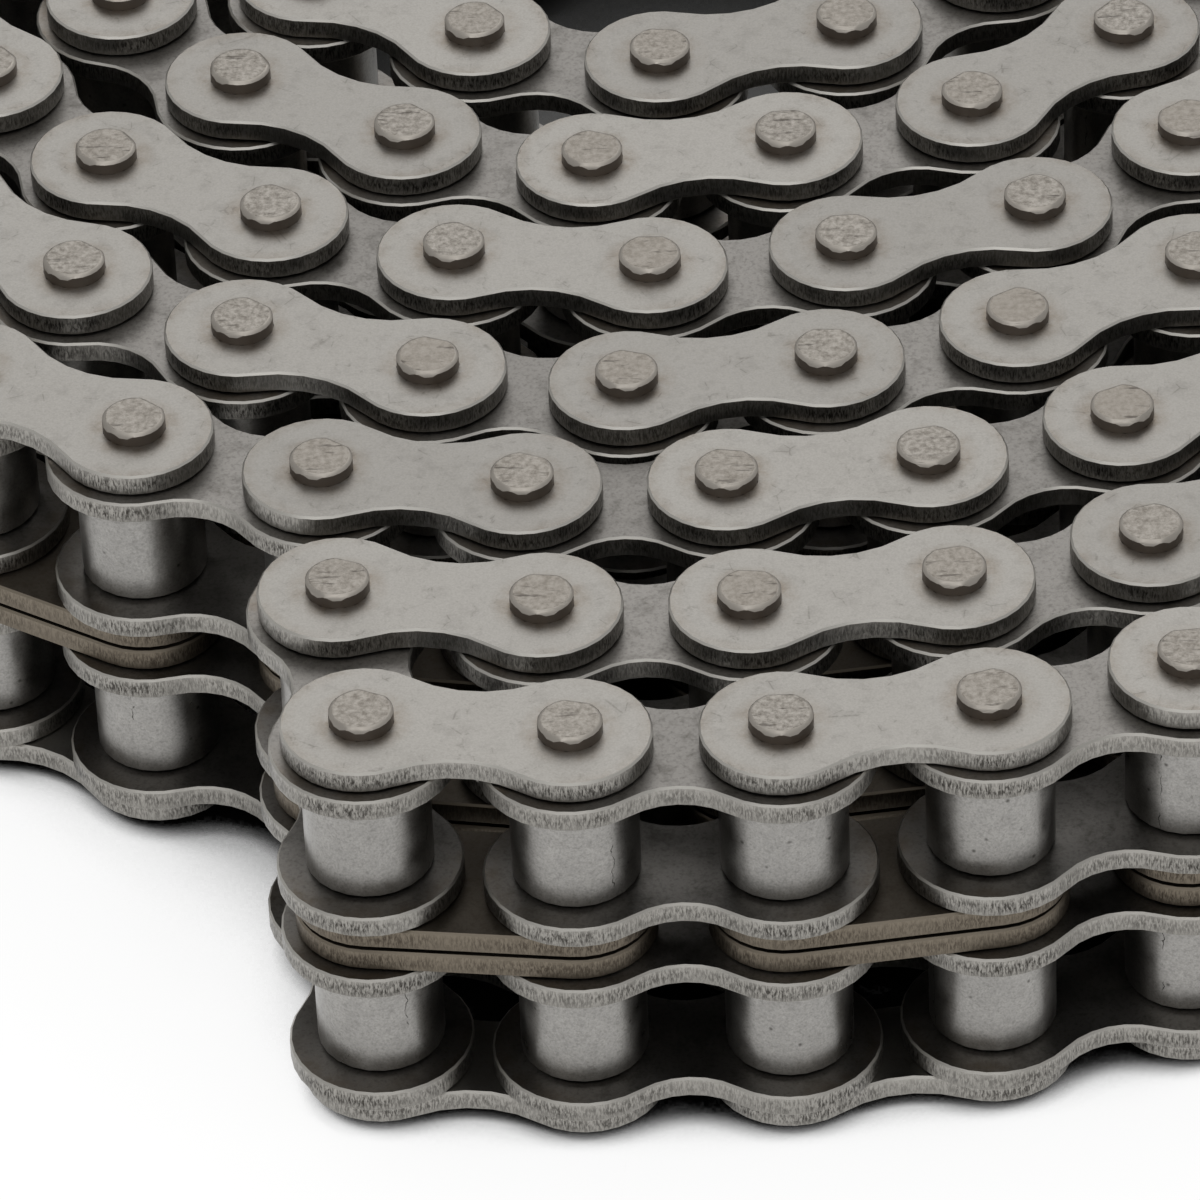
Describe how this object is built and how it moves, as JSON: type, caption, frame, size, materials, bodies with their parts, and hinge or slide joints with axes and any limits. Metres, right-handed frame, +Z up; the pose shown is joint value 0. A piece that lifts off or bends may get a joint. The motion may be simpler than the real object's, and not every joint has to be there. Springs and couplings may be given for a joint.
{
  "type": "duplex roller chain",
  "caption": "Two-strand roller chain wound into a flat coil, with rollers on bushes between waisted plates and a free end that swings out link by link.",
  "frame": {"origin": "middle of the coil's bounding box, on the plane of the lower pin ends that it rests on", "axes": "+Z up along the pins; +X along the third link of the free end, seen from the front; +Y from the folded front edge to the back of the coil"},
  "size_m": [0.1754, 0.1908, 0.0304],
  "materials": {
    "outer_plate_steel": "satin",
    "centre_plate_steel": "satin",
    "inner_plate_steel": "satin",
    "pin_steel": "satin",
    "bush_steel": "satin",
    "roller_steel": "satin"
  },
  "bodies": {
    "coil": {"coil_outer_plates": "outer_plate_steel", "coil_centre_plates": "centre_plate_steel", "coil_inner_plates": "inner_plate_steel", "coil_pins": "pin_steel", "coil_bushes": "bush_steel", "coil_end_bushes": "bush_steel", "coil_rollers": "roller_steel"},
    "link_1": {"link_1_inner_plates": "inner_plate_steel", "link_1_bushes": "bush_steel"},
    "link_1_near_upper_roller": {"link_1_near_upper_roller": "roller_steel"},
    "link_1_near_lower_roller": {"link_1_near_lower_roller": "roller_steel"},
    "link_1_far_upper_roller": {"link_1_far_upper_roller": "roller_steel"},
    "link_1_far_lower_roller": {"link_1_far_lower_roller": "roller_steel"},
    "link_2": {"link_2_outer_plates": "outer_plate_steel", "link_2_centre_plates": "centre_plate_steel", "link_2_pins": "pin_steel"},
    "link_3": {"link_3_inner_plates": "inner_plate_steel", "link_3_bushes": "bush_steel"},
    "link_3_near_upper_roller": {"link_3_near_upper_roller": "roller_steel"},
    "link_3_near_lower_roller": {"link_3_near_lower_roller": "roller_steel"},
    "link_3_far_upper_roller": {"link_3_far_upper_roller": "roller_steel"},
    "link_3_far_lower_roller": {"link_3_far_lower_roller": "roller_steel"},
    "link_4": {"link_4_outer_plates": "outer_plate_steel", "link_4_centre_plates": "centre_plate_steel", "link_4_pins": "pin_steel"},
    "link_5": {"link_5_inner_plates": "inner_plate_steel", "link_5_bushes": "bush_steel"},
    "link_5_near_upper_roller": {"link_5_near_upper_roller": "roller_steel"},
    "link_5_near_lower_roller": {"link_5_near_lower_roller": "roller_steel"},
    "link_5_far_upper_roller": {"link_5_far_upper_roller": "roller_steel"},
    "link_5_far_lower_roller": {"link_5_far_lower_roller": "roller_steel"},
    "link_6": {"link_6_outer_plates": "outer_plate_steel", "link_6_centre_plates": "centre_plate_steel", "link_6_pins": "pin_steel"},
    "link_7": {"link_7_inner_plates": "inner_plate_steel", "link_7_bushes": "bush_steel"},
    "link_7_near_upper_roller": {"link_7_near_upper_roller": "roller_steel"},
    "link_7_near_lower_roller": {"link_7_near_lower_roller": "roller_steel"},
    "link_7_far_upper_roller": {"link_7_far_upper_roller": "roller_steel"},
    "link_7_far_lower_roller": {"link_7_far_lower_roller": "roller_steel"},
    "link_8": {"link_8_outer_plates": "outer_plate_steel", "link_8_centre_plates": "centre_plate_steel", "link_8_pins": "pin_steel"},
    "link_9": {"link_9_inner_plates": "inner_plate_steel", "link_9_bushes": "bush_steel"},
    "link_9_near_upper_roller": {"link_9_near_upper_roller": "roller_steel"},
    "link_9_near_lower_roller": {"link_9_near_lower_roller": "roller_steel"},
    "link_9_far_upper_roller": {"link_9_far_upper_roller": "roller_steel"},
    "link_9_far_lower_roller": {"link_9_far_lower_roller": "roller_steel"},
    "link_10": {"link_10_outer_plates": "outer_plate_steel", "link_10_centre_plates": "centre_plate_steel", "link_10_pins": "pin_steel"},
    "link_11": {"link_11_inner_plates": "inner_plate_steel", "link_11_bushes": "bush_steel"},
    "link_11_near_upper_roller": {"link_11_near_upper_roller": "roller_steel"},
    "link_11_near_lower_roller": {"link_11_near_lower_roller": "roller_steel"},
    "link_11_far_upper_roller": {"link_11_far_upper_roller": "roller_steel"},
    "link_11_far_lower_roller": {"link_11_far_lower_roller": "roller_steel"}
  },
  "joints": [
    {"name": "link_1_hinge", "type": "hinge", "parent": "coil", "child": "link_1", "pos_m": [-0.02596, -0.07554, 0.01519], "axis": [0, 0, -1], "range_deg": [0, 30]},
    {"name": "link_1_near_upper_spin", "type": "hinge", "parent": "link_1", "child": "link_1_near_upper_roller", "pos_m": [-0.02596, -0.07554, 0.02238], "axis": [0, 0, 1], "continuous": true},
    {"name": "link_1_near_lower_spin", "type": "hinge", "parent": "link_1", "child": "link_1_near_lower_roller", "pos_m": [-0.02596, -0.07554, 0.008], "axis": [0, 0, 1], "continuous": true},
    {"name": "link_1_far_upper_spin", "type": "hinge", "parent": "link_1", "child": "link_1_far_upper_roller", "pos_m": [-0.02438, -0.08814, 0.02238], "axis": [0, 0, 1], "continuous": true},
    {"name": "link_1_far_lower_spin", "type": "hinge", "parent": "link_1", "child": "link_1_far_lower_roller", "pos_m": [-0.02438, -0.08814, 0.008], "axis": [0, 0, 1], "continuous": true},
    {"name": "link_2_hinge", "type": "hinge", "parent": "link_1", "child": "link_2", "pos_m": [-0.02438, -0.08814, 0.01519], "axis": [0, 0, -1], "range_deg": [0, 30]},
    {"name": "link_3_hinge", "type": "hinge", "parent": "link_2", "child": "link_3", "pos_m": [-0.01178, -0.0897, 0.01519], "axis": [0, 0, -1], "range_deg": [0, 30]},
    {"name": "link_3_near_upper_spin", "type": "hinge", "parent": "link_3", "child": "link_3_near_upper_roller", "pos_m": [-0.01178, -0.0897, 0.02238], "axis": [0, 0, 1], "continuous": true},
    {"name": "link_3_near_lower_spin", "type": "hinge", "parent": "link_3", "child": "link_3_near_lower_roller", "pos_m": [-0.01178, -0.0897, 0.008], "axis": [0, 0, 1], "continuous": true},
    {"name": "link_3_far_upper_spin", "type": "hinge", "parent": "link_3", "child": "link_3_far_upper_roller", "pos_m": [0.00092, -0.0897, 0.02238], "axis": [0, 0, 1], "continuous": true},
    {"name": "link_3_far_lower_spin", "type": "hinge", "parent": "link_3", "child": "link_3_far_lower_roller", "pos_m": [0.00092, -0.0897, 0.008], "axis": [0, 0, 1], "continuous": true},
    {"name": "link_4_hinge", "type": "hinge", "parent": "link_3", "child": "link_4", "pos_m": [0.00092, -0.0897, 0.01519], "axis": [0, 0, -1], "range_deg": [0, 30]},
    {"name": "link_5_hinge", "type": "hinge", "parent": "link_4", "child": "link_5", "pos_m": [0.01352, -0.08806, 0.01519], "axis": [0, 0, -1], "range_deg": [0, 30]},
    {"name": "link_5_near_upper_spin", "type": "hinge", "parent": "link_5", "child": "link_5_near_upper_roller", "pos_m": [0.01352, -0.08806, 0.02238], "axis": [0, 0, 1], "continuous": true},
    {"name": "link_5_near_lower_spin", "type": "hinge", "parent": "link_5", "child": "link_5_near_lower_roller", "pos_m": [0.01352, -0.08806, 0.008], "axis": [0, 0, 1], "continuous": true},
    {"name": "link_5_far_upper_spin", "type": "hinge", "parent": "link_5", "child": "link_5_far_upper_roller", "pos_m": [0.02579, -0.08482, 0.02238], "axis": [0, 0, 1], "continuous": true},
    {"name": "link_5_far_lower_spin", "type": "hinge", "parent": "link_5", "child": "link_5_far_lower_roller", "pos_m": [0.02579, -0.08482, 0.008], "axis": [0, 0, 1], "continuous": true},
    {"name": "link_6_hinge", "type": "hinge", "parent": "link_5", "child": "link_6", "pos_m": [0.02579, -0.08482, 0.01519], "axis": [0, 0, -1], "range_deg": [0, 30]},
    {"name": "link_7_hinge", "type": "hinge", "parent": "link_6", "child": "link_7", "pos_m": [0.03755, -0.08001, 0.01519], "axis": [0, 0, -1], "range_deg": [0, 30]},
    {"name": "link_7_near_upper_spin", "type": "hinge", "parent": "link_7", "child": "link_7_near_upper_roller", "pos_m": [0.03755, -0.08001, 0.02238], "axis": [0, 0, 1], "continuous": true},
    {"name": "link_7_near_lower_spin", "type": "hinge", "parent": "link_7", "child": "link_7_near_lower_roller", "pos_m": [0.03755, -0.08001, 0.008], "axis": [0, 0, 1], "continuous": true},
    {"name": "link_7_far_upper_spin", "type": "hinge", "parent": "link_7", "child": "link_7_far_upper_roller", "pos_m": [0.04859, -0.07372, 0.02238], "axis": [0, 0, 1], "continuous": true},
    {"name": "link_7_far_lower_spin", "type": "hinge", "parent": "link_7", "child": "link_7_far_lower_roller", "pos_m": [0.04859, -0.07372, 0.008], "axis": [0, 0, 1], "continuous": true},
    {"name": "link_8_hinge", "type": "hinge", "parent": "link_7", "child": "link_8", "pos_m": [0.04859, -0.07372, 0.01519], "axis": [0, 0, -1], "range_deg": [0, 30]},
    {"name": "link_9_hinge", "type": "hinge", "parent": "link_8", "child": "link_9", "pos_m": [0.05871, -0.06605, 0.01519], "axis": [0, 0, -1], "range_deg": [0, 30]},
    {"name": "link_9_near_upper_spin", "type": "hinge", "parent": "link_9", "child": "link_9_near_upper_roller", "pos_m": [0.05871, -0.06605, 0.02238], "axis": [0, 0, 1], "continuous": true},
    {"name": "link_9_near_lower_spin", "type": "hinge", "parent": "link_9", "child": "link_9_near_lower_roller", "pos_m": [0.05871, -0.06605, 0.008], "axis": [0, 0, 1], "continuous": true},
    {"name": "link_9_far_upper_spin", "type": "hinge", "parent": "link_9", "child": "link_9_far_upper_roller", "pos_m": [0.06775, -0.05713, 0.02238], "axis": [0, 0, 1], "continuous": true},
    {"name": "link_9_far_lower_spin", "type": "hinge", "parent": "link_9", "child": "link_9_far_lower_roller", "pos_m": [0.06775, -0.05713, 0.008], "axis": [0, 0, 1], "continuous": true},
    {"name": "link_10_hinge", "type": "hinge", "parent": "link_9", "child": "link_10", "pos_m": [0.06775, -0.05713, 0.01519], "axis": [0, 0, -1], "range_deg": [0, 30]},
    {"name": "link_11_hinge", "type": "hinge", "parent": "link_10", "child": "link_11", "pos_m": [0.07554, -0.04711, 0.01519], "axis": [0, 0, -1], "range_deg": [0, 30]},
    {"name": "link_11_near_upper_spin", "type": "hinge", "parent": "link_11", "child": "link_11_near_upper_roller", "pos_m": [0.07554, -0.04711, 0.02238], "axis": [0, 0, 1], "continuous": true},
    {"name": "link_11_near_lower_spin", "type": "hinge", "parent": "link_11", "child": "link_11_near_lower_roller", "pos_m": [0.07554, -0.04711, 0.008], "axis": [0, 0, 1], "continuous": true},
    {"name": "link_11_far_upper_spin", "type": "hinge", "parent": "link_11", "child": "link_11_far_upper_roller", "pos_m": [0.08196, -0.03615, 0.02238], "axis": [0, 0, 1], "continuous": true},
    {"name": "link_11_far_lower_spin", "type": "hinge", "parent": "link_11", "child": "link_11_far_lower_roller", "pos_m": [0.08196, -0.03615, 0.008], "axis": [0, 0, 1], "continuous": true}
  ]
}
